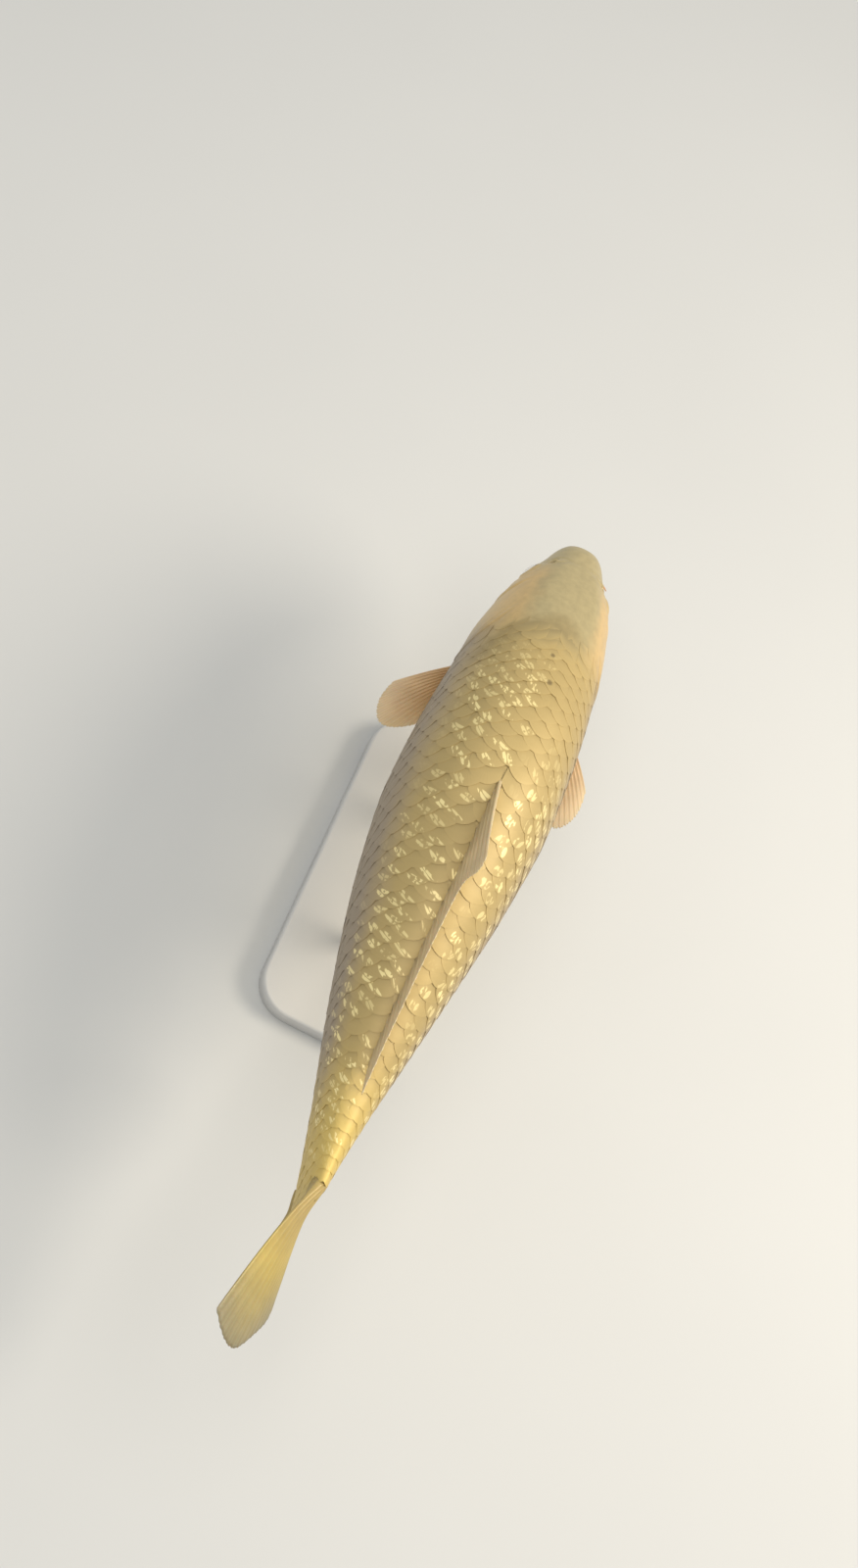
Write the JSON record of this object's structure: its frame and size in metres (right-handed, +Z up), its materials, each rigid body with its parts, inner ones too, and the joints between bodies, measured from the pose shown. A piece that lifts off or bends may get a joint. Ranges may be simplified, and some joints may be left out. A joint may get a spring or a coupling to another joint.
{
  "type": "koi carp model",
  "caption": "Still life-size golden koi carp with netted scales, swimming level on a flat display stand with short steel rods.",
  "frame": {"origin": "middle of the flat underside of the display stand", "axes": "+X the way the fish's head points, +Y the fish's left, +Z up"},
  "size_m": [0.6177, 0.1641, 0.2921],
  "materials": {
    "scaled_skin": "moist fish skin under overlapping golden scales with a pearly metallic sheen",
    "head_skin": "smooth moist pale gold head skin, satin",
    "eye": "wet dark eye with a golden iris",
    "barbel": "soft flesh, satin",
    "dorsal_fin": "olive-gold ribbed fin membrane, satin",
    "paired_fin": "peach-gold ribbed fin membrane, satin",
    "tail_fin": "cream-yellow ribbed fin membrane, satin",
    "stand_base": "pale satin enamel",
    "stand_rod": "fine brushed"
  },
  "bodies": {
    "root": {"head": "head_skin", "lower_jaw": "head_skin", "gill_cover_left": "head_skin", "gill_cover_right": "head_skin", "eye_left": "eye", "eye_right": "eye", "barbel_front_left": "barbel", "barbel_front_right": "barbel", "barbel_corner_left": "barbel", "barbel_corner_right": "barbel", "trunk": "scaled_skin", "tail_stalk": "scaled_skin", "dorsal_fin": "dorsal_fin", "pectoral_fin_left": "paired_fin", "pectoral_fin_right": "paired_fin", "pelvic_fin_left": "paired_fin", "pelvic_fin_right": "paired_fin", "anal_fin": "paired_fin", "tail_fin": "tail_fin", "stand_base": "stand_base", "stand_rod_front": "stand_rod", "stand_rod_rear": "stand_rod", "stand_collar_front": "stand_rod", "stand_collar_rear": "stand_rod"}
  },
  "joints": []
}
